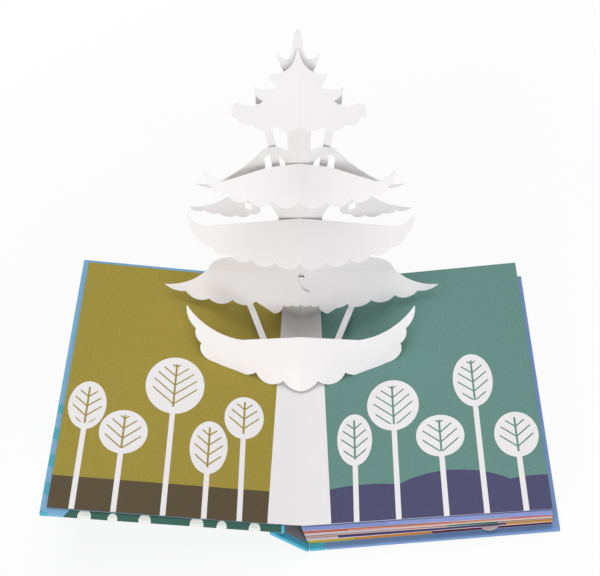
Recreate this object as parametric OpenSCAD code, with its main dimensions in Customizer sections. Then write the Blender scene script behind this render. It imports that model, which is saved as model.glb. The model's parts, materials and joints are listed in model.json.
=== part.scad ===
// Pop-up book lying open on its back cover, with a paper fir tree standing in the gutter.
// Millimetres. Origin on the back cover's underside, +X to its fore-edge, +Y to the head, +Z up.

/* [Pages] */
// Width of one page, from gutter to fore-edge
page_w = 190; // [150:1:240]
// Height of one page, from foot to head
page_h = 240; // [236:1:300]
// Thickness of the sheet that carries the tree
sheet_t = 0.6; // [0.4:0.1:0.9]
// Rise of each page above a line across the open spread, degrees
half_open = 8.6; // [8:0.1:9.2]
// Turn of the spread that lays its right page on the block, degrees
lean = 10.6; // [10:0.1:11]
// Space between the left page and the front cover at their joint
page_clear = 0.9; // [0.6:0.1:2]
// Leaves still closed under the right page
leaves = 9; // [4:1:14]
// Thickness of one closed leaf
leaf_t = 0.9; // [0.5:0.1:1.6]
// Depth of the gaps between closed leaves, where the folded pop-ups end
leaf_gap_depth = 6; // [3:0.5:15]
// Stagger of the closed leaves at the fore-edge
leaf_stagger = 0.7; // [0:0.1:1.5]

/* [Case] */
// Width of each cover board
board_w = 184; // [140:1:235]
// Thickness of each covered board
board_t = 3.5; // [3:0.1:4]
// How far the covers pass the pages at head and foot
square = 5; // [2:0.5:8]
// Width of the soft joint between a board and the spine
joint_w = 11; // [8:0.5:16]
// Thickness of the soft joint
joint_t = 0.8; // [0.5:0.1:1.2]
// Width of the spine between its two joint lines
spine_span = 38.5; // [37:0.5:39]
// Rise of the spine from the table, degrees
spine_rise = 57; // [55:0.5:59]
// Rise of the front cover from the table, degrees
cover_rise = 18.9; // [17:0.1:19.1]
// How far the front board reaches back over the end of the spine
joint_lap = 9; // [6:0.5:10]
// Space between the spine and what turns on it
joint_clear = 0.3; // [0.2:0.05:0.5]
// Thickness of the endpapers and the spine lining
paper_t = 0.3; // [0.2:0.1:0.5]
// Border of cover left bare around an endpaper
endpaper_margin = 5; // [3:0.5:15]

/* [Trunk] */
// Thickness of the tree's card
card_t = 0.5; // [0.3:0.1:0.6]
// Space left between glued pieces
fit = 0.25; // [0.1:0.05:0.3]
// Distance of the trunk from the foot of the page
trunk_y = 200; // [190:1:205]
// Fold of each half of the trunk, degrees
trunk_fold = 20; // [16:1:24]
// Half width of the trunk at its foot, along the card
trunk_foot = 22; // [18:0.5:26]
// Half width of the trunk under its fork
trunk_waist = 18.5; // [14:0.5:20]
// Half width of the trunk below the treetop
trunk_neck = 9; // [6:0.5:11]
// Height of the trunk's fork above the gutter
fork_z = 121; // [116:1:124]
// Half width of the fork
fork_w = 31; // [26:0.5:34]

/* [Treetop] */
// Height of the tree's point above the gutter
tree_h = 310; // [296:1:324]
// Distance of the treetop's upper end behind the front of the trunk
treetop_set = 3.3; // [2:0.1:3.4]
// Slope of the treetop, degrees
treetop_slope = 76; // [74:1:78]
// Reach of the treetop's widest branch, along the card
treetop_reach = 51.5; // [46:0.5:58]

/* [Boughs] */
// Fold of each half of the treetop, upper and middle boughs, degrees
bough_fold = 20; // [18:1:22]
// Height of the upper bough's top above the gutter
upper_z = 189; // [186:1:192]
// Slope of the upper bough, degrees
upper_slope = 54; // [50:1:58]
// Reach of the upper bough, along the card
upper_reach = 79; // [76:0.5:90]
// Height of the middle bough's top above the gutter
middle_z = 129; // [125:1:132]
// Slope of the middle bough, degrees
middle_slope = 57; // [53:1:61]
// Reach of the middle bough, along the card
middle_reach = 98.5; // [95:0.5:110]
// Height of the lower bough's crease above the gutter
lower_z = 62; // [60:1:68]
// Slope of the lower bough's skirts, degrees
lower_slope = 66; // [64:1:70]
// Fold of each half of the lower bough, degrees
lower_fold = 13; // [10:1:14]
// Fall of the lower bough's crease from the trunk outwards, degrees
lower_fall = 4.3; // [3:0.1:5]
// Reach of the lower bough, along its crease
lower_reach = 123; // [118:0.5:128]
// Distance of the base bough's top from the foot of the page
base_y = 146; // [130:1:150]
// Height of the base bough's top above the gutter
base_z = 44; // [44:0.5:50]
// Slope of the base bough, degrees
base_slope = 57; // [55:1:59]
// Fold of each half of the base bough, degrees
base_turn = 12; // [10:1:12]
// Reach of the base bough, along the card
base_reach = 96.5; // [94:0.5:102]
// Depth of a scallop as a share of its width
scallop = 0.25; // [0.15:0.01:0.26]
// Width of a strut
strut_w = 6; // [4:0.5:7]

/* [Output] */
// Sub-part to draw

/* [Hidden] */
$fn = 40;
arc_steps = 10;
skirt_top = [1.2, 0];
cover_h = page_h + 2 * square;
hinge_r = board_t / 2;
hinge_x = -98;
gutter_x = hinge_x + 0.5;
joint_x = hinge_x - spine_span * cos(spine_rise);
joint_z = hinge_r + spine_span * sin(spine_rise);
board_x = hinge_x + joint_w;
cover_z = hinge_r + joint_clear + joint_t;
page_tilt = lean - half_open;
left_tilt = lean + half_open;
gutter_z = joint_z + (cover_z + board_t + paper_t + sheet_t + page_clear) / cos(left_tilt)
  - (gutter_x - joint_x) * tan(left_tilt);
block_x = gutter_x + 0.7;
block_z = board_t + paper_t;
fore_x = gutter_x + page_w * cos(page_tilt);
treetop_share = (tree_h - upper_z) / 121;
treetop_y = trunk_y + treetop_set * treetop_share;
treetop_z = tree_h - 2.6 * treetop_share;
trunk_top = tree_h - 38 * treetop_share;

// Height of the right page's underside at x
function block_top(x) = gutter_z - (x - gutter_x) * tan(page_tilt) - sheet_t / cos(page_tilt);
// Height of the underside of closed leaf i at x
function leaf_z(i, x) = block_z + i / (leaves - 1) * (block_top(x) - leaf_t - block_z);
// Distance from the foot at which a bough of this slope touches the trunk's front crease
function seat_y(slope) = trunk_y - card_t / sin(slope) - fit;
// Place of a point of the lower bough's right skirt, at u along its crease, v up and w off its face
function on_skirt(u, v, w) =
  let (x = u * cos(lower_fall) + v * sin(lower_fall), y = v * cos(lower_fall) - u * sin(lower_fall),
    z = w * cos(lower_fold) - x * sin(lower_fold))
  [x * cos(lower_fold) + w * sin(lower_fold),
    seat_y(lower_slope) + y * cos(lower_slope) - z * sin(lower_slope),
    lower_z + y * sin(lower_slope) + z * cos(lower_slope)];
// Place of a point in the middle of a sheet glued behind the base fold
function on_base(u, v) =
  let (z = -2 * (card_t + fit) / cos(base_turn) - card_t / 2 * cos(base_turn) - u * sin(base_turn))
  [u * cos(base_turn) - card_t / 2 * sin(base_turn),
    base_y + v * cos(base_slope) - z * sin(base_slope),
    base_z + v * sin(base_slope) + z * cos(base_slope)];
// Distance from the foot of the back of the sheets glued behind the trunk, at x
function trunk_back(x) = trunk_y + x * tan(trunk_fold) + (2 * card_t + fit) / cos(trunk_fold);
// Point of the treetop's front sheet at u along the card and v up, which follows the treetop's height
function on_top(u, v) = [u, v * treetop_share];
// Point of the treetop's rear sheet at u along the card and a drop below the tree's point
function below_point(u, drop) = [u, tree_h - drop * treetop_share];
// Points between scallops, spaced closer towards the tip, with a notch at the crease
function cusps(n, reach, depth, lift, notch) = [for (i = [0:n])
  let (u = reach * sin(60 * i / n) / sin(60))
  [u, lift * pow(u / reach, 4) - depth + (i == 0 ? notch : 0)]];
// Points of a round edge after a and up to b, standing out on the right by a share of its width
function bow(a, b, share) =
  let (turn = 2 * atan(2 * share), along = (b - a) / norm(b - a), out = [along[1], -along[0]],
    r = norm(b - a) / 2 / sin(turn), middle = (a + b) / 2 - out * r * cos(turn))
  [for (i = [1:arc_steps]) let (at = turn * (2 * i / arc_steps - 1))
    middle + r * (out * cos(at) + along * sin(at))];
// A row of scallops, one between each two points
function scallops(points, share) = [for (i = [0:len(points) - 2]) each bow(points[i], points[i + 1], share)];
// Right half of a bough: scalloped lower edge, tip turned up, hollow upper edge
function bough(edge, tip, top) = concat([edge[0]], scallops(edge, scallop),
  bow(edge[len(edge) - 1], tip, 0.15), bow(tip, top[0], -0.12), top);

// Frame of the open spread: gutter along Y, Z standing up between the two pages
module in_spread()
  translate([gutter_x, -page_h / 2, gutter_z])
    rotate([0, lean, 0])
      children();

// Frame of the front cover, on the upper joint line
module in_cover()
  translate([joint_x, 0, joint_z])
    rotate([0, cover_rise, 0])
      children();

// Frame of the spine, on the lower joint line
module in_spine()
  translate([hinge_x, 0, hinge_r])
    rotate([0, spine_rise, 0])
      children();

// One half of a folded sheet, from the outline of its right half
module wing(y, z, slope, fold, layer = 0)
  translate([0, y, z])
    rotate([slope, 0, 0])
      translate([0, 0, -layer * (card_t + fit) / cos(fold)])
        rotate([0, fold, 0])
          translate([0, 0, -card_t])
            linear_extrude(card_t)
              children();

// A sheet folded along its middle, with the crease towards the reader
module folded(y, z, slope, fold, layer = 0)
  for (side = [0, 1])
    mirror([side, 0, 0])
      wing(y, z, slope, fold, layer)
        children();

// A plate glued on both pages
module glued_tabs()
  for (side = [0, 1])
    mirror([side, 0, 0])
      rotate([0, -half_open, 0])
        linear_extrude(card_t)
          children();

// Flat strip leaning in a plane across the spread, its ends cut at a slant
module strut(foot, head, slant = 0) {
  run = norm([head[1] - foot[1], head[2] - foot[2]]);
  skew = slant * strut_w / 2;
  translate([0, foot[1], foot[2]])
    rotate([atan2(head[2] - foot[2], head[1] - foot[1]), 0, 0])
      linear_extrude(card_t)
        polygon([[foot[0] - strut_w / 2, -skew], [foot[0] + strut_w / 2, skew],
          [head[0] + strut_w / 2, run + skew], [head[0] - strut_w / 2, run - skew]]);
}

module front_cover()
  color("steelblue")
    in_cover()
      translate([joint_lap - board_w, -cover_h / 2, cover_z])
        cube([board_w, cover_h, board_t]);

module front_joint()
  color("deepskyblue")
    in_cover()
      translate([-hinge_r, -cover_h / 2, hinge_r + joint_clear])
        cube([joint_lap + hinge_r, cover_h, joint_t]);

module front_endpaper()
  color("lightsteelblue")
    in_cover()
      translate([joint_lap - board_w + endpaper_margin, endpaper_margin - cover_h / 2, cover_z + board_t])
        cube([board_w - 2 * endpaper_margin, cover_h - 2 * endpaper_margin, paper_t]);

module spine()
  color("deepskyblue")
    in_spine() {
      translate([-spine_span, -cover_h / 2, -hinge_r])
        cube([spine_span, cover_h, board_t]);
      for (x = [-spine_span, 0])
        translate([x, cover_h / 2, 0])
          rotate([90, 0, 0])
            cylinder(h = cover_h, r = hinge_r);
    }

module spine_lining()
  color("silver")
    in_spine()
      translate([joint_lap + joint_clear - spine_span, endpaper_margin - cover_h / 2, hinge_r])
        cube([spine_span - joint_lap - joint_clear - endpaper_margin,
          cover_h - 2 * endpaper_margin, paper_t]);

module back_joint()
  color("deepskyblue")
    translate([hinge_x + hinge_r + joint_clear, -cover_h / 2, 0])
      cube([joint_w - hinge_r - joint_clear, cover_h, joint_t]);

module back_cover()
  color("steelblue")
    translate([board_x, -cover_h / 2, 0])
      cube([board_w, cover_h, board_t]);

module back_endpaper()
  color("lightsteelblue")
    translate([board_x, endpaper_margin - cover_h / 2, board_t])
      cube([board_w - endpaper_margin, cover_h - 2 * endpaper_margin, paper_t]);

module page_block() {
  core_x = fore_x - leaf_stagger - leaf_gap_depth;
  core_h = page_h - 2 * leaf_gap_depth;
  color("gainsboro") {
    for (i = [0:leaves - 1]) {
      x = i == leaves - 1 ? fore_x : fore_x - leaf_stagger * (1 + sin(130 * i)) / 2;
      translate([0, page_h / 2, 0])
        rotate([90, 0, 0])
          linear_extrude(page_h)
            polygon([[block_x, leaf_z(i, block_x)], [x, leaf_z(i, x)],
              [x, leaf_z(i, x) + leaf_t], [block_x, leaf_z(i, block_x) + leaf_t]]);
    }
    translate([0, core_h / 2, 0])
      rotate([90, 0, 0])
        linear_extrude(core_h)
          polygon([[block_x, block_z], [core_x, block_z],
            [core_x, block_top(core_x)], [block_x, block_top(block_x)]]);
  }
}

module open_spread() {
  edge = page_w * [cos(half_open), sin(half_open)];
  under = edge + sheet_t * [sin(half_open), -cos(half_open)];
  color("olivedrab")
    in_spread()
      translate([0, page_h, 0])
        rotate([90, 0, 0])
          linear_extrude(page_h)
            polygon([[0, 0], edge, under, [0, -sheet_t / cos(half_open)],
              [-under[0], under[1]], [-edge[0], edge[1]]]);
}

module trunk() {
  foot_z = trunk_foot * cos(trunk_fold) * tan(half_open) + fit;
  color("white")
    in_spread() {
      folded(trunk_y, 0, 90, trunk_fold)
        difference() {
          polygon(concat([[0, fit], [trunk_foot, foot_z], [trunk_waist, fork_z]],
            bow([trunk_waist, fork_z], [fork_w, fork_z + 17], -0.12),
            [[fork_w - 2, fork_z + 20], [trunk_neck, fork_z + 36],
            [trunk_neck, trunk_top - 45 * treetop_share], [trunk_neck - 4, trunk_top], [0, trunk_top]]));
          translate([trunk_waist - 7, fork_z + 12])
            square([3, 1.4]);
        }
      glued_tabs()
        polygon([[13, trunk_y + 9], [21, trunk_y + 3], [35, trunk_y + 11.5],
          [30, trunk_y + 17], [13, trunk_y + 14]]);
    }
}

module treetop_front() {
  tips = [on_top(21, -35.4), on_top(33.2, -47.3), on_top(treetop_reach - 5.5, -61.7)];
  necks = [on_top(15.7, -43.4), on_top(26.5, -56.8)];
  edge = [on_top(0, -70), on_top(18, -75.5), on_top(36, -77), on_top(47, -74),
    on_top(treetop_reach, -69.4)];
  color("white")
    in_spread()
      folded(treetop_y, treetop_z, treetop_slope, bough_fold)
        polygon(concat([edge[0]], scallops(edge, scallop), bow(edge[4], tips[2], 0.15),
          bow(tips[2], necks[1], -0.16), bow(necks[1], tips[1], 0.18), bow(tips[1], necks[0], -0.16),
          bow(necks[0], tips[0], 0.18), bow(tips[0], on_top(1, -15), -0.19), [on_top(0, -13.5)]));
}

// Sheet glued behind the trunk: the tree's point, two horns, and arms for the upper struts
module treetop_rear() {
  root = below_point(10.7, 39);
  horn = below_point(15.2, 24.1);
  neck = below_point(5.8, 24.9);
  color("whitesmoke")
    in_spread()
      folded(trunk_y, 0, 90, trunk_fold, 1)
        polygon(concat([below_point(0, 82), below_point(12, 82), below_point(33, 74), below_point(33, 64),
          below_point(12, 54), root], bow(root, horn, 0.055), bow(horn, neck, -0.35),
          bow(neck, below_point(3.8, 13.6), -0.03),
          [below_point(2.3, 3.1), below_point(1.1, 0.7), below_point(0, 0)]));
}

module upper_bough_front()
  color("white")
    in_spread()
      folded(seat_y(upper_slope), upper_z, upper_slope, bough_fold)
        polygon(bough(cusps(4, upper_reach - 6.5, 30.5, 8.5, 2.5), [upper_reach, -8.5],
          [[upper_reach - 17, -17], [26, -4.5], [0, 0]]));

module upper_bough_rear() {
  tip = [upper_reach + 11, 135.5];
  root = [upper_reach - 13, 146.5];
  color("whitesmoke")
    in_spread()
      folded(trunk_y, 0, 90, trunk_fold, 1)
        difference() {
          polygon(concat([[0, 150], [50, 147], [upper_reach - 13, 141], [upper_reach - 4, 135]],
            bow([upper_reach - 4, 135], tip, 0.1), bow(tip, root, -0.1), bow(root, [30, 190], -0.03),
            bow([30, 190], [8, 196], 0.2), [[0, 196]]));
          translate([19.8, 180.5])
            circle(9);
          translate([11.5, 164])
            square([16.6, 14]);
        }
}

module middle_bough_front()
  color("white")
    in_spread()
      folded(seat_y(middle_slope), middle_z, middle_slope, bough_fold)
        polygon(bough(cusps(5, middle_reach - 8, 38.3, 14.8, 1.3), [middle_reach, -5],
          [[middle_reach - 14.5, -13.8], [47, -8], [0, 0]]));

module middle_bough_rear() {
  tip = [middle_reach - 1, 104.7];
  edge = [[34, 124], [43, 117], [56, 110.5], [72, 107.5], [84, 106.5], tip];
  color("whitesmoke")
    in_spread()
      folded(trunk_y, 0, 90, trunk_fold, 1)
        difference() {
          polygon(concat([[0, 134], [34, 134], edge[0]], scallops(edge, 0.2),
            bow(tip, [62, 129.5], -0.07), [[44, 144], [0, 146]]));
          translate([41, 121.5])
            square([6.5, 7.5]);
        }
}

// Skirt of the lower bough, below its crease, from the points of its inner edge and between its scallops
function skirt(inner, cuts) =
  let (edge = concat([inner[len(inner) - 1]], cuts), tip = [lower_reach, -14.5])
  concat([skirt_top], inner, scallops(edge, scallop * 0.85),
    bow(edge[4], tip, 0.12), bow(tip, [83, 0], -0.1));

// Frame of one half of the lower bough, on its crease
module on_crease()
  translate([0, seat_y(lower_slope), lower_z])
    rotate([lower_slope, 0, 0])
      rotate([0, lower_fold, 0])
        rotate([0, 0, -lower_fall])
          children();

// The left skirt's inner point passes in front of the right one
module lower_bough_front() {
  point = [-5.4, -18.5];
  right = [[18.5, -27.5], [42.8, -30.6], [63.8, -27.5], [84.6, -23.6], [105, -20]];
  left = [[17.5, -25.4], [41.8, -27.9], [62.8, -27.6], [84, -27], [104.4, -20.5]];
  color("white")
    in_spread()
      for (side = [0, 1])
        mirror([side, 0, 0]) {
          on_crease()
            translate([0, 0, -card_t])
              linear_extrude(card_t)
                polygon(side == 0 ? skirt([right[0]], [for (i = [1:4]) right[i]])
                  : skirt(concat(bow(skirt_top, point, -0.2), bow(point, left[0], 0.16)),
                    [for (i = [1:4]) left[i]]));
          intersection() {
            translate([0, trunk_y - lower_reach, 0])
              cube(2 * lower_reach);
            on_crease()
              rotate([90 - lower_slope, 0, 0])
                translate([0, 0, -card_t])
                  linear_extrude(card_t)
                    polygon(concat([[-4, -0.6], [82, -0.6]], bow([82, -0.6], [64, 16], 0.12),
                      [[30, 23], [-4, 24]]));
          }
        }
}

// Small scalloped sheet behind the two skirts, in front of the trunk
module lower_collar() {
  edge = [[0, -30], [8, -31], [15.4, -32.5]];
  point = [23.6, -41.4];
  color("whitesmoke")
    in_spread()
      folded(seat_y(lower_slope), lower_z, lower_slope, lower_fold, 1)
        polygon(concat([edge[0]], scallops(edge, scallop), bow(edge[2], point, 0.15),
          [[40, -31.5], [38, -12], [0, -4]]));
}

module base_bough() {
  edge = [[14.7, -39.6], [38, -34.2], [58.4, -25.5], [base_reach - 19, -13.6], [base_reach - 7.2, 1.2]];
  tip = [base_reach, 20.8];
  middle = bow([-edge[0][0], edge[0][1]], edge[0], 0.28);
  color("white")
    in_spread()
      folded(base_y, base_z, base_slope, base_turn)
        polygon(concat([for (i = [arc_steps / 2 - 1:arc_steps - 1]) [max(middle[i][0], 0), middle[i][1]]],
          scallops(edge, scallop * 1.1), bow(edge[4], tip, 0.13), bow(tip, [50, -6.4], -0.115),
          [[25, -3.3], [0, 0]]));
}

// Plain sheet behind the base bough, standing on the pages
module base_fold() {
  back = (card_t + fit) / cos(base_turn);
  rise = (cos(base_turn) * tan(half_open) + cos(base_slope) * sin(base_turn)) / sin(base_slope);
  floor_v = (back * cos(base_slope) + fit + card_t * cos(base_slope) - base_z) / sin(base_slope);
  tab = [for (u = [46, 70]) [u * cos(base_turn) / cos(half_open),
    base_y + back * sin(base_slope) + (floor_v + rise * u) * cos(base_slope)
      + u * sin(base_slope) * sin(base_turn)]];
  color("whitesmoke")
    in_spread() {
      folded(base_y, base_z, base_slope, base_turn, 1)
        polygon(concat([[0, -25], [41, -27], [44.5, floor_v + rise * 44.5], [77, floor_v + rise * 77]],
          bow([77, floor_v + rise * 77], [86, -18.5], 0.12), [[86, -14], [80, -5], [50, -15], [0, -8]]));
      glued_tabs()
        polygon([tab[0], tab[1], tab[1] + [-4, 14], tab[0] + [4, 14]]);
    }
}

// Strap from the back of the base fold to the back of a skirt, with a glue tab at each end
module lower_strut() {
  foot = [28.3, -13];
  head = [46.8, -35];
  side = [strut_w / 2, 0];
  strut(on_base(foot[0], foot[1]), on_skirt(head[0], head[1], -card_t * 1.5 - fit),
    tan(base_turn) / sin(base_slope));
  wing(base_y, base_z, base_slope, base_turn, 2)
    polygon([foot - side + [0, 0.6], foot - side - [0, 13], foot + side - [0, 13], foot + side + [0, 0.6]]);
  on_crease()
    translate([0, 0, -2 * card_t - fit])
      linear_extrude(card_t)
        polygon([head - side - [0, 0.6], head + side - [0, 0.6], head + side + [2, 10],
          head + side + [2, 16], head - side + [4, 16], head - side + [3.6, 10]]);
}

module lower_strut_left()
  color("gainsboro")
    in_spread()
      mirror([1, 0, 0])
        lower_strut();

module lower_strut_right()
  color("gainsboro")
    in_spread()
      lower_strut();

// Strip along the backs of the upper bough's arch and the treetop's rear sheet
module upper_strut()
  strut([16.3, trunk_back(16.3 + strut_w / 2) + fit + card_t, upper_z - 24],
    [27, trunk_back(27 + strut_w / 2) + fit + card_t, tree_h - 67 * treetop_share]);

module upper_strut_left()
  color("gainsboro")
    in_spread()
      mirror([1, 0, 0])
        upper_strut();

module upper_strut_right()
  color("gainsboro")
    in_spread()
      upper_strut();

front_cover();
front_joint();
front_endpaper();
spine();
spine_lining();
back_joint();
back_cover();
back_endpaper();
page_block();
open_spread();
trunk();
treetop_front();
treetop_rear();
upper_bough_front();
upper_bough_rear();
middle_bough_front();
middle_bough_rear();
lower_bough_front();
lower_collar();
base_bough();
base_fold();
lower_strut_left();
lower_strut_right();
upper_strut_left();
upper_strut_right();
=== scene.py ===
import json
import math

import bmesh
import bpy
from mathutils import Matrix, Vector


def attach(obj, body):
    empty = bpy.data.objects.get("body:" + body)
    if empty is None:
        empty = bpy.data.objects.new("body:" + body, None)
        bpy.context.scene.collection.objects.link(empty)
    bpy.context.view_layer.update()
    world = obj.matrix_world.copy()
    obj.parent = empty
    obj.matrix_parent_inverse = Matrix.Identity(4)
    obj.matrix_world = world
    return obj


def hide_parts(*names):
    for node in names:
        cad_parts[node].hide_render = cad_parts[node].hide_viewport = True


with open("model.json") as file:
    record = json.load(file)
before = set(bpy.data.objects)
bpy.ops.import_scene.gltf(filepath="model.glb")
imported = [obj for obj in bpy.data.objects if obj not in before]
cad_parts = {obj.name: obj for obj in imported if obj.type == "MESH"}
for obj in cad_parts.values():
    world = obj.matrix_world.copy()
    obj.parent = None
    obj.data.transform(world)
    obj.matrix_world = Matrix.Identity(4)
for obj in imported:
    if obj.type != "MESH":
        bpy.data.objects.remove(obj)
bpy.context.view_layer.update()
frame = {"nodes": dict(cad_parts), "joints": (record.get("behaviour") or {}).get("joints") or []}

nodes = frame["nodes"]
hinges = {joint["name"]: Vector(joint["pos_m"]) for joint in frame["joints"]}
mm = 0.001


def leaning(place, degrees):
    return Matrix.Translation(place) @ Matrix.Rotation(math.radians(degrees), 4, "Y")


# the open spread turns about the gutter, the front half of the case about its hinges
spread = {"gutter": Vector((-97.5, -120, 35.193)) * mm, "lean": 10.6, "halfOpen": 8.6,
          "pageWidth": 190 * mm, "pageHeight": 240 * mm, "sheet": 0.6 * mm, "gutterRound": 55 * mm,
          "columns": 190, "rows": 24}
caseLean = {"cover": 18.9, "spine": 57}
spreadFrame = leaning(spread["gutter"], spread["lean"])
coverFrame = leaning(hinges["front_cover_hinge"], caseLean["cover"])
spineFrame = leaning(hinges["spine_hinge"], caseLean["spine"])
caseHalf = 125  # half the height of the covers, in millimetres


def ink(red, green, blue):
    levels = [value / 255 for value in (red, green, blue)]
    return tuple(v / 12.92 if v < 0.04045 else ((v + 0.055) / 1.055) ** 2.4 for v in levels) + (1,)


# shader expressions: a Wire is a socket that takes part in sums
class Wire:
    def __init__(self, tree, socket):
        self.tree, self.socket = tree, socket

    def node(self, kind, settings=None, values=None, out=0):
        made = self.tree.nodes.new("ShaderNode" + kind)
        for name, value in (settings or {}).items():
            setattr(made, name, value)
        for name, value in (values or {}).items():
            if isinstance(value, Wire):
                self.tree.links.new(value.socket, made.inputs[name])
            else:
                made.inputs[name].default_value = value
        return Wire(self.tree, made.outputs[out])

    def sums(self, operation, *others):
        return self.node("Math", {"operation": operation}, dict(enumerate((self, *others))))

    def __add__(self, other):
        return self.sums("ADD", other)

    def __sub__(self, other):
        return self.sums("SUBTRACT", other)

    def __rsub__(self, other):
        return self.node("Math", {"operation": "SUBTRACT"}, {0: other, 1: self})

    def __mul__(self, other):
        return self.sums("MULTIPLY", other)

    def __truediv__(self, other):
        return self.sums("DIVIDE", other)

    def __lt__(self, other):
        return self.sums("LESS_THAN", other)

    def __gt__(self, other):
        return self.sums("GREATER_THAN", other)

    def __abs__(self):
        return self.sums("ABSOLUTE")

    def __or__(self, other):
        return self.sums("MAXIMUM", other)

    def __and__(self, other):
        return self.sums("MINIMUM", other)

    def wave(self):
        return self.sums("SINE")

    def fraction(self):
        return self.sums("FRACT")

    def blend(self, first, second):  # colour that goes from first to second as this goes from 0 to 1
        return self.node("Mix", {"data_type": "RGBA"}, {0: self, 6: first, 7: second}, 2)

    def part(self, axis):
        return self.node("SeparateXYZ", None, {0: self}, axis)

    def noise(self, size, detail=3, rough=0.55):  # grain of that size in metres
        values = {"Vector": self, "Scale": 1 / size, "Detail": detail, "Roughness": rough}
        return self.node("TexNoise", None, values)

    def disc(self, across, centre, radius, share=1):  # 1 inside an ellipse
        side = (self - centre[0]) / radius
        rise = (across - centre[1]) / (radius * share)
        return (side * side + rise * rise) < 1


def finish(name, look):
    material = bpy.data.materials.new(name)
    material.use_nodes = True
    shader = material.node_tree.nodes["Principled BSDF"]
    shader.inputs["Roughness"].default_value = look["roughness"]
    shader.inputs["Specular IOR Level"].default_value = look["specular"]
    return material, Wire(material.node_tree, None), shader


# relief is the height of the grain, smoothest and roughMore the range of an uneven gloss
def paint(material, shader, look, colour, grain, uneven=None):
    links = material.node_tree.links
    links.new(colour.socket, shader.inputs["Base Color"])
    if uneven:
        rough = uneven * look["roughMore"] + look["smoothest"]
        links.new(rough.socket, shader.inputs["Roughness"])
    bump = grain.node("Bump", None, {"Strength": 0.6, "Distance": look["relief"], "Height": grain})
    links.new(bump.socket, shader.inputs["Normal"])
    return material


def places(wire, turn=None):  # object coordinates, turned into a part's own frame
    here = wire.node("TexCoord", None, None, 3)
    if turn is None:
        return here
    back = turn.inverted()
    return here.node("Mapping", None, {0: here, 1: back.to_translation(), 2: back.to_euler()})


def shaded(grain, colour, depth):  # a flat ink with the unevenness of print on paper
    level = grain * depth + (1 - depth / 2)
    settings = {"data_type": "RGBA", "blend_type": "MULTIPLY"}
    return level.node("Mix", settings, {0: 1.0, 6: colour, 7: level}, 2)


def seenDirectly(wire):  # 1 for what the camera sees, also in a gloss or through glass
    camera, gloss, glass = [wire.node("LightPath", None, None, out) for out in (0, 3, 6)]
    return camera | gloss | glass


def whiteCardFinish():
    look = {"card": ink(243, 240, 241), "shadeOfCard": ink(236, 233, 234),
            "fibre": 0.5 * mm, "cloud": 28 * mm, "cloudShare": 0.6, "relief": 0.04 * mm,
            "roughness": 0.72, "smoothest": 0.66, "roughMore": 0.12, "specular": 0.25}
    material, wire, shader = finish("whiteCard", look)
    here = places(wire)
    fibre = here.noise(look["fibre"], 5)
    cloud = here.noise(look["cloud"], 2)
    tone = cloud * look["cloudShare"] + fibre * (1 - look["cloudShare"])
    colour = tone.blend(look["card"], look["shadeOfCard"])
    return paint(material, shader, look, colour, fibre, fibre)


def plainPaperFinish(name, colour, paler):
    look = {"fibre": 0.6 * mm, "cloud": 22 * mm, "cloudShare": 0.7, "relief": 0.05 * mm,
            "roughness": 0.78, "smoothest": 0.72, "roughMore": 0.1, "specular": 0.22}
    material, wire, shader = finish(name, look)
    here = places(wire)
    fibre = here.noise(look["fibre"], 4)
    cloud = here.noise(look["cloud"], 2)
    tone = cloud * look["cloudShare"] + fibre * (1 - look["cloudShare"])
    return paint(material, shader, look, tone.blend(colour, paler), fibre, fibre)


def spreadFinish():
    look = {"olive": ink(157, 140, 53), "soil": ink(80, 68, 45), "teal": ink(98, 139, 131),
            "dusk": ink(70, 69, 104), "white": ink(239, 236, 237),
            "soilTop": 27 * mm, "trunkFoot": 24.5 * mm, "trunkTaper": 0.036, "stem": 2.1 * mm,
            # round trees: distance from the gutter, height of the crown, half its width, height for width
            "trees": [(-172, 92, 15, 1.5), (-141, 70, 19, 1.05), (-104, 118, 24, 1.15), (-73, 62, 15, 1.6),
                      (-46, 92, 16, 1.25), (44, 72, 14, 1.7), (76, 102, 21, 1.15), (112, 70, 19, 1.0),
                      (142, 120, 16, 1.6), (171, 66, 17, 1.2)],
            # hills: distance from the gutter, half the width, height for width
            "hills": [(52, 74, 0.42), (118, 62, 0.62), (182, 58, 0.5)],
            "ribs": {"inside": 0.76, "width": 0.8 * mm, "gap": 9 * mm, "share": 0.17, "slope": 0.85},
            "grain": 2 * mm, "grainOnInk": 0.6, "grainOnWhite": 0.02, "fibre": 0.5 * mm, "relief": 0.03 * mm,
            "roughness": 0.66, "smoothest": 0.6, "roughMore": 0.12, "specular": 0.28}
    material, wire, shader = finish("printedSpread", look)
    flat = wire.node("UVMap", {"uv_map": "sheetPlace"})
    across, up = flat.part(0), flat.part(1)
    right = across > 0
    ground = (up < look["soilTop"]) & (across < 0)
    for place, half, share in look["hills"]:
        ground = ground | (across.disc(up, (place * mm, 0), half * mm, share) & right)
    ribs = look["ribs"]
    white = abs(across) < (look["trunkFoot"] - up * look["trunkTaper"])
    for place, height, half, share in look["trees"]:
        aside = abs(across - place * mm)
        crown = across.disc(up, (place * mm, height * mm), half * mm, share)
        inside = across.disc(up, (place * mm, height * mm), half * ribs["inside"] * mm, share)
        veins = ((up - aside * ribs["slope"]) / ribs["gap"]).fraction() < ribs["share"]
        crown = crown - ((veins | (aside < ribs["width"])) & inside)
        stem = (aside < look["stem"]) & (up < (height - half * share * ribs["inside"]) * mm)
        white = white | crown | stem
    grain = flat.noise(look["grain"], 4, 0.7)
    page = right.blend(look["olive"], look["teal"])
    page = ground.blend(page, right.blend(look["soil"], look["dusk"]))
    page = shaded(grain, page, look["grainOnInk"])
    colour = white.blend(page, shaded(grain, look["white"], look["grainOnWhite"]))
    return paint(material, shader, look, colour, flat.noise(look["fibre"]), grain)


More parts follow.
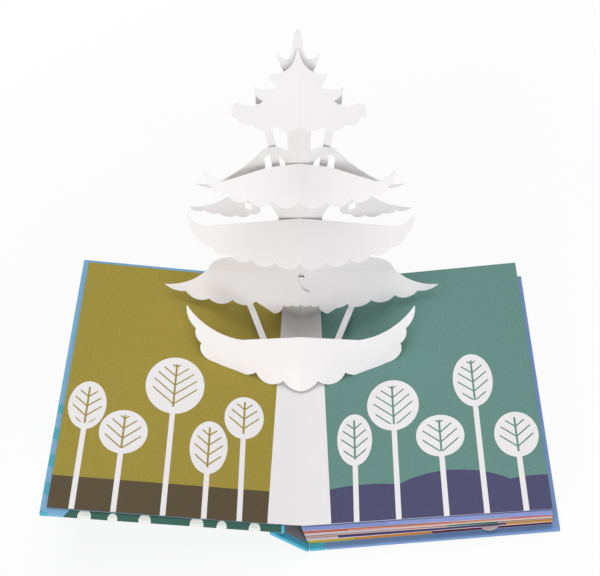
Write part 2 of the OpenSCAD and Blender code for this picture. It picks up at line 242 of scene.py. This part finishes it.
wrapLook = {"grain": 0.9 * mm, "grainOnInk": 0.1, "cloud": 30 * mm, "relief": 0.04 * mm,
            "roughness": 0.5, "smoothest": 0.42, "roughMore": 0.14, "specular": 0.35}


def frontWrapFinish():
    # along falls from the joint to the fore-edge, up rises from the foot to the head
    look = {"sky": ink(118, 172, 208), "pool": ink(62, 166, 190), "hill": ink(14, 78, 64),
            "bush": ink(226, 230, 224), "band": ink(80, 180, 208), "bandFrom": 6.6 * mm,
            "hillTop": -74 * mm, "hillSwell": 14 * mm, "hillTurns": 32, "hillEnd": -157 * mm, "hillFall": 0.8,
            "poolTop": -28 * mm, "poolFrom": -169 * mm, "poolLevel": 0.2,
            "poolTurnsUp": 260, "poolTurnsAlong": 90,
            "bushes": [(-142, 5), (-121, 3.6), (-97, 4.6), (-58, 5.2), (-39, 3.8), (-14, 4.4)],
            "bushRise": 1.3}
    material, wire, shader = finish("frontWrap", wrapLook)
    here = places(wire, coverFrame)
    along, up = here.part(0), here.part(1)
    grain = here.noise(wrapLook["grain"], 4, 0.65)
    foot = -caseHalf * mm
    hillLine = (along * look["hillTurns"]).wave() * look["hillSwell"] + look["hillTop"]
    hill = (up < hillLine) & ((up - foot) * look["hillFall"] < (along - look["hillEnd"]))
    ripples = (up * look["poolTurnsUp"] + along * look["poolTurnsAlong"]).wave() > look["poolLevel"]
    pools = ripples & (up < look["poolTop"]) & (along < look["poolFrom"])
    colour = pools.blend(look["sky"], look["pool"])
    colour = hill.blend(colour, look["hill"])
    for place, radius in look["bushes"]:
        bush = along.disc(up, (place * mm, foot), radius * mm, look["bushRise"])
        colour = bush.blend(colour, look["bush"])
    colour = (along > look["bandFrom"]).blend(colour, look["band"])
    return paint(material, shader, wrapLook, shaded(grain, colour, wrapLook["grainOnInk"]), grain, grain)


def wrapFinish(name, colour, deeper):
    material, wire, shader = finish(name, wrapLook)
    here = places(wire)
    grain = here.noise(wrapLook["grain"], 4, 0.65)
    colour = here.noise(wrapLook["cloud"], 2).blend(colour, deeper)
    return paint(material, shader, wrapLook, shaded(grain, colour, wrapLook["grainOnInk"]), grain, grain)


def leafFinish():
    look = {"layer": 0.35 * mm, "stretch": (0.05, 0.05, 1), "layerOnInk": 0.3, "relief": 0.06 * mm,
            "roughness": 0.75, "specular": 0.25}
    material, wire, shader = finish("leafEdges", look)
    tint = wire.node("Attribute", {"attribute_name": "leafInk"})
    here = places(wire)
    layers = here.node("Mapping", None, {0: here, 3: look["stretch"]}).noise(look["layer"])
    return paint(material, shader, look, shaded(layers, tint, look["layerOnInk"]), layers)


whiteCard = whiteCardFinish()
printedSpread = spreadFinish()
frontWrap = frontWrapFinish()
backWrap = wrapFinish("backWrap", ink(116, 152, 200), ink(102, 136, 186))
spineWrap = wrapFinish("spineWrap", ink(80, 182, 210), ink(64, 168, 198))
leafEdges = leafFinish()
endpaper = plainPaperFinish("endpaperPaper", ink(150, 170, 190), ink(164, 182, 200))
lining = plainPaperFinish("liningPaper", ink(136, 138, 142), ink(150, 152, 155))
print("finishes made:", len(bpy.data.materials))

shading = {"sharpFrom": 35, "broadFace": 100 * mm * mm}  # degrees and square metres


def addPiece(name, shape, material, body, slot, *stoodFor):
    bmesh.ops.recalc_face_normals(shape, faces=shape.faces[:])
    mesh = bpy.data.meshes.new(name)
    shape.to_mesh(mesh)
    shape.free()
    mesh.materials.append(material)
    mesh.shade_smooth()
    mesh.set_sharp_from_angle(angle=math.radians(shading["sharpFrom"]))
    for face in mesh.polygons:  # a broad flat face keeps its own shade beside its soft edges
        face.use_smooth = face.area < shading["broadFace"]
    piece = bpy.data.objects.new(name, mesh)
    bpy.context.scene.collection.objects.link(piece)
    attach(piece, body)
    if stoodFor:
        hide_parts(*stoodFor)


def placed(shape, matrix):
    bmesh.ops.transform(shape, matrix=matrix, verts=shape.verts[:])
    return shape


def bevelled(shape, edges, width, segments):
    bmesh.ops.bevel(shape, geom=edges, offset=width * mm, offset_type="OFFSET", affect="EDGES",
                    segments=segments, profile=0.5, material=-1, clamp_overlap=True)


# boards and strips of the case in millimetres, each in its own frame: lowest and highest x and z,
# how soft the edges are, and for the spine how round its long sides are
case = {"frontBoard": {"low": (-175, 2.85), "high": (9, 6.35), "soft": 0.9},
        "frontJoint": {"low": (-1.7, 2.07), "high": (8.9, 2.83), "soft": 0.3},
        "spine": {"low": (-40.2, -1.74), "high": (1.74, 1.74), "soft": 0.5, "round": 1.7},
        "backBoard": {"low": (-82.9, 0), "high": (97, 3.5), "soft": 0.9},
        "backJoint": {"low": (-95.9, 0.05), "high": (-83.3, 3.35), "soft": 0.7}}
bevels = {"softSegments": 3, "roundSegments": 6, "endSegments": 2, "cornerFrom": 1.2, "longFrom": 10 * mm}


def slab(board, matrix=None):  # with soft edges, its long sides rounded first where asked
    low = Vector((board["low"][0], -caseHalf, board["low"][1])) * mm
    high = Vector((board["high"][0], caseHalf, board["high"][1])) * mm
    shape = bmesh.new()
    bmesh.ops.create_cube(shape, size=1)
    bmesh.ops.scale(shape, vec=high - low, verts=shape.verts[:])
    bmesh.ops.translate(shape, vec=(high + low) / 2, verts=shape.verts[:])
    if "round" in board:
        long = [e for e in shape.edges if abs((e.verts[0].co - e.verts[1].co).y) > bevels["longFrom"]]
        bevelled(shape, long, board["round"], bevels["roundSegments"])
        ends = [e for e in shape.edges if e.calc_face_angle(0) > bevels["cornerFrom"]]
        bevelled(shape, ends, board["soft"], bevels["endSegments"])
    else:
        bevelled(shape, shape.edges[:], board["soft"], bevels["softSegments"])
    return placed(shape, matrix) if matrix else shape


addPiece("frontBoard", slab(case["frontBoard"], coverFrame), frontWrap,
         "front_cover", "cover_wrap", "front_cover")
addPiece("frontJointStrip", slab(case["frontJoint"], coverFrame), spineWrap,
         "front_cover", "spine_wrap", "front_joint")
addPiece("spineBoard", slab(case["spine"], spineFrame), spineWrap, "spine", "spine_wrap", "spine")
addPiece("backBoard", slab(case["backBoard"]), backWrap, "pages", "cover_wrap", "back_cover")
addPiece("backJointStrip", slab(case["backJoint"]), spineWrap, "pages", "spine_wrap", "back_joint")
print("case made")

# size of the block in millimetres, and how the leaves' edges wave and step back
leafStack = {"spineX": -96.6, "foreX": 92.2, "half": 119.8, "floor": 3.85, "underSheet": 0.62, "cuts": 60,
             "gap": 0.14, "wave": 0.5, "waveTurns": 0.034, "waveShift": 1.9,
             "stagger": 0.3, "staggerTurn": 2.3}
# closed leaves from the top down: share of the block's height by the spine and at the fore-edge,
# how far they stand out at the foot, and their inks, each with the place it starts from the spine
pale, warmPale = ink(188, 186, 194), ink(204, 194, 194)
closedLeaves = [
    (0.05, 0.03, 0.0, [(-97, pale)]),
    (0.22, 0.34, 0.5, [(-97, ink(122, 136, 190)), (-30, ink(132, 146, 198))]),
    (0.06, 0.03, 0.1, [(-97, warmPale)]),
    (0.10, 0.08, 0.5, [(-97, ink(190, 92, 66)), (-62, ink(206, 132, 104)), (60, ink(212, 104, 70))]),
    (0.14, 0.10, 0.2, [(-97, pale), (-20, warmPale)]),
    (0.06, 0.05, 0.6, [(-97, ink(176, 140, 138)), (12, ink(70, 128, 104)), (50, ink(196, 160, 140))]),
    (0.05, 0.06, 0.1, [(-97, warmPale)]),
    (0.10, 0.10, 0.6, [(-97, ink(190, 170, 166)), (-70, ink(62, 54, 100)), (59, ink(196, 140, 44))]),
    (0.08, 0.07, 0.2, [(-97, warmPale)]),
    (0.14, 0.14, 0.0, [(-97, ink(188, 164, 44)), (-58, ink(200, 128, 40)), (2, ink(84, 20, 40))])]
foldedScrap = {"place": (45, -114.6, 8.3), "radius": 9, "thick": 0.5, "segments": 24,
               "ink": ink(214, 196, 194)}


def blockTop(x):
    tilt = math.radians(spread["lean"] - spread["halfOpen"])
    gutter = spread["gutter"] / mm
    return gutter.z - (x - gutter.x) * math.tan(tilt) - leafStack["underSheet"]


def leafPlace(along, y, ends, foreX, turn):  # a point of a leaf, from 0 at the spine to 1 at the fore-edge
    stack = leafStack
    x = stack["spineX"] + (foreX - stack["spineX"]) * along
    level = ends[0] + (ends[1] - ends[0]) * along
    swell = math.sin(x * stack["waveTurns"] + turn * stack["waveShift"] + y)
    lift = stack["wave"] * swell * math.sin(math.pi * level) * min(1, along * 2)  # flat by the spine
    return x, stack["floor"] + (blockTop(x) - stack["floor"]) * level + lift


def tinted(faces, layer, colourAt):
    for face in faces:
        colour = colourAt(face.calc_center_median().x / mm)
        for loop in face.loops:
            loop[layer] = colour


def addScrap(whole, layer):  # a folded pop-up shows between the lowest leaves
    scrap = bmesh.ops.create_circle(whole, cap_ends=True, segments=foldedScrap["segments"],
                                    radius=foldedScrap["radius"] * mm)["verts"]
    disc = {f for v in scrap for f in v.link_faces}
    grown = bmesh.ops.extrude_face_region(whole, geom=list(disc))["geom"]
    upper = [g for g in grown if isinstance(g, bmesh.types.BMVert)]
    bmesh.ops.translate(whole, vec=(0, 0, foldedScrap["thick"] * mm), verts=upper)
    bmesh.ops.translate(whole, vec=Vector(foldedScrap["place"]) * mm, verts=scrap + upper)
    tinted({f for v in scrap + upper for f in v.link_faces}, layer, lambda x: foldedScrap["ink"])


def leafBlock():
    stack = leafStack
    whole = bmesh.new()
    inkLayer = whole.loops.layers.float_color.new("leafInk")
    levels = (1.0, 1.0)
    for turn, (near, far, out, inks) in enumerate(closedLeaves):
        under = (levels[0] - near, levels[1] - far)
        gapped = (levels[0] - stack["gap"] * near, levels[1] - stack["gap"] * far)
        foreX = stack["foreX"] - stack["stagger"] * (1 + math.sin(stack["staggerTurn"] * turn))
        before = set(whole.faces)
        tops = bmesh.ops.create_grid(whole, x_segments=stack["cuts"], y_segments=1, size=1)["verts"]
        grid = [f for f in whole.faces if f not in before]
        copied = bmesh.ops.duplicate(whole, geom=tops + grid)["vert_map"]
        for verts, ends in ((tops, gapped), ([copied[v] for v in tops], under)):
            for v in verts:
                x, z = leafPlace((v.co.x + 1) / 2, v.co.y, ends, foreX, turn)
                v.co = Vector((x, v.co.y * (stack["half"] + out), z)) * mm
        rims = {e for f in whole.faces if f not in before for e in f.edges if len(e.link_faces) == 1}
        bmesh.ops.bridge_loops(whole, edges=list(rims))
        tinted([f for f in whole.faces if f not in before], inkLayer,
               lambda x: [colour for start, colour in inks if start <= x][-1])
        levels = under
    addScrap(whole, inkLayer)
    addPiece("leafBlock", whole, leafEdges, "pages", "leaves", "page_block")


leafBlock()
print("closed leaves made")


def sheetSpot(along):  # place across the gutter and height of a point of the sheet, rounded at the fold
    angle, rounded = math.radians(spread["halfOpen"]), spread["gutterRound"]
    arc = rounded * angle
    if abs(along) < arc:
        lift = rounded * (1 / math.cos(angle) - 1)
        return rounded * math.sin(along / rounded), lift + rounded * (1 - math.cos(along / rounded))
    run = abs(along) - arc + rounded * math.tan(angle)
    return math.copysign(run * math.cos(angle), along), run * math.sin(angle)


def printedSheet():
    shape = bmesh.new()
    flat = shape.loops.layers.uv.new("sheetPlace")
    bmesh.ops.create_grid(shape, x_segments=spread["columns"], y_segments=spread["rows"], size=1)
    for face in shape.faces:
        for loop in face.loops:
            spot = loop.vert.co
            loop[flat].uv = (spot.x * spread["pageWidth"], (spot.y + 1) / 2 * spread["pageHeight"])
    for v in shape.verts:
        side, rise = sheetSpot(v.co.x * spread["pageWidth"])
        v.co = (side, (v.co.y + 1) / 2 * spread["pageHeight"], rise)
    bmesh.ops.solidify(shape, geom=shape.faces[:], thickness=spread["sheet"])
    placed(shape, spreadFrame)
    addPiece("printedSheet", shape, printedSpread, "pages", "printed_spread", "open_spread")


printedSheet()
print("spread made")

treeNodes = ["trunk", "treetop_front", "treetop_rear", "upper_bough_front", "upper_bough_rear",
             "middle_bough_front", "middle_bough_rear", "lower_bough_front", "lower_collar", "base_bough",
             "base_fold", "lower_strut_left", "lower_strut_right", "upper_strut_left", "upper_strut_right"]
papers = [(name, whiteCard) for name in treeNodes]
papers += [("front_endpaper", endpaper), ("back_endpaper", endpaper), ("spine_lining", lining)]
for name, material in papers:
    nodes[name].data.materials.clear()
    nodes[name].data.materials.append(material)
print("tree, endpapers and lining dressed")

# the floor keeps the book's shadow near it and goes over to plain white farther off
stage = {"floor": 4, "below": 0.2 * mm, "white": (0.93, 0.93, 0.93, 1), "clear": 0.89,
         "fadeFrom": 0.3, "fadeTo": 0.75, "roughness": 0.9, "specular": 0.1}


def whiteFloor():
    shape = bmesh.new()
    bmesh.ops.create_grid(shape, x_segments=1, y_segments=1, size=stage["floor"])
    bmesh.ops.translate(shape, vec=(0, 0, -stage["below"]), verts=shape.verts[:])
    mesh = bpy.data.meshes.new("floor")
    shape.to_mesh(mesh)
    shape.free()
    material, wire, shader = finish("floorWhite", stage)
    shader.inputs["Base Color"].default_value = stage["white"]
    here = places(wire)
    far = here.node("VectorMath", {"operation": "LENGTH"}, {0: here}, 1)
    fade = far.node("MapRange", None, {0: far, 1: stage["fadeFrom"], 2: stage["fadeTo"],
                                       3: stage["clear"], 4: 1.0})
    glow = wire.node("Emission", None, {"Color": (1, 1, 1, 1), "Strength": 1.0})
    surface = Wire(material.node_tree, shader.outputs[0])
    both = wire.node("MixShader", None, {0: seenDirectly(wire) * fade, 1: surface, 2: glow})
    output = material.node_tree.nodes["Material Output"]
    material.node_tree.links.new(both.socket, output.inputs["Surface"])
    mesh.materials.append(material)
    floor = bpy.data.objects.new("floor", mesh)
    bpy.context.scene.collection.objects.link(floor)


whiteFloor()

# two soft boxes over the book, in line with the leaning tree, and three low ones for what stands up:
# name, place, width and power
light = {"sky": 0.05, "aim": (-0.05, 0.05, 0.12),
         "lamps": [("boxInFront", (0.1, -0.34, 1.65), 0.8, 5.5), ("boxBehind", (0.2, 0.34, 1.65), 0.8, 11.5),
                   ("leftFill", (-0.95, -1.65, 0.75), 1.1, 16.0), ("rightFill", (0.8, -1.7, 0.75), 1.1, 13.5),
                   ("backFill", (0.35, 1.75, 0.75), 1.1, 5.5)]}
world = bpy.data.worlds.new("studio")
bpy.context.scene.world = world
world.use_nodes = True
strength = seenDirectly(Wire(world.node_tree, None)) * (1 - light["sky"]) + light["sky"]
backdrop = world.node_tree.nodes["Background"]
backdrop.inputs["Color"].default_value = (1, 1, 1, 1)
world.node_tree.links.new(strength.socket, backdrop.inputs["Strength"])
for name, place, width, power in light["lamps"]:
    lamp = bpy.data.lights.new(name, "AREA")
    lamp.shape, lamp.size, lamp.energy = "DISK", width, power
    made = bpy.data.objects.new(name, lamp)
    made.location = place
    made.rotation_euler = (Vector(light["aim"]) - Vector(place)).to_track_quat("-Z", "Y").to_euler()
    bpy.context.scene.collection.objects.link(made)

photoView = {"place": (0.053136, -0.508955, 0.780113), "right": (0.98115, 0.00895, -0.19302),
             "up": (0.11558, 0.77333, 0.62338), "back": (0.15485, -0.63394, 0.75772),
             "lens": 65.64, "sensor": 36}
cameraData = bpy.data.cameras.new("photoCamera")
cameraData.sensor_fit = "HORIZONTAL"
cameraData.sensor_width, cameraData.lens = photoView["sensor"], photoView["lens"]
camera = bpy.data.objects.new("photoCamera", cameraData)
columns = [photoView["right"], photoView["up"], photoView["back"]]
camera.matrix_world = Matrix.Translation(photoView["place"]) @ Matrix(columns).transposed().to_4x4()
bpy.context.scene.collection.objects.link(camera)
bpy.context.scene.camera = camera
bpy.context.scene.view_settings.view_transform = "Standard"
print("stage, light and camera made")
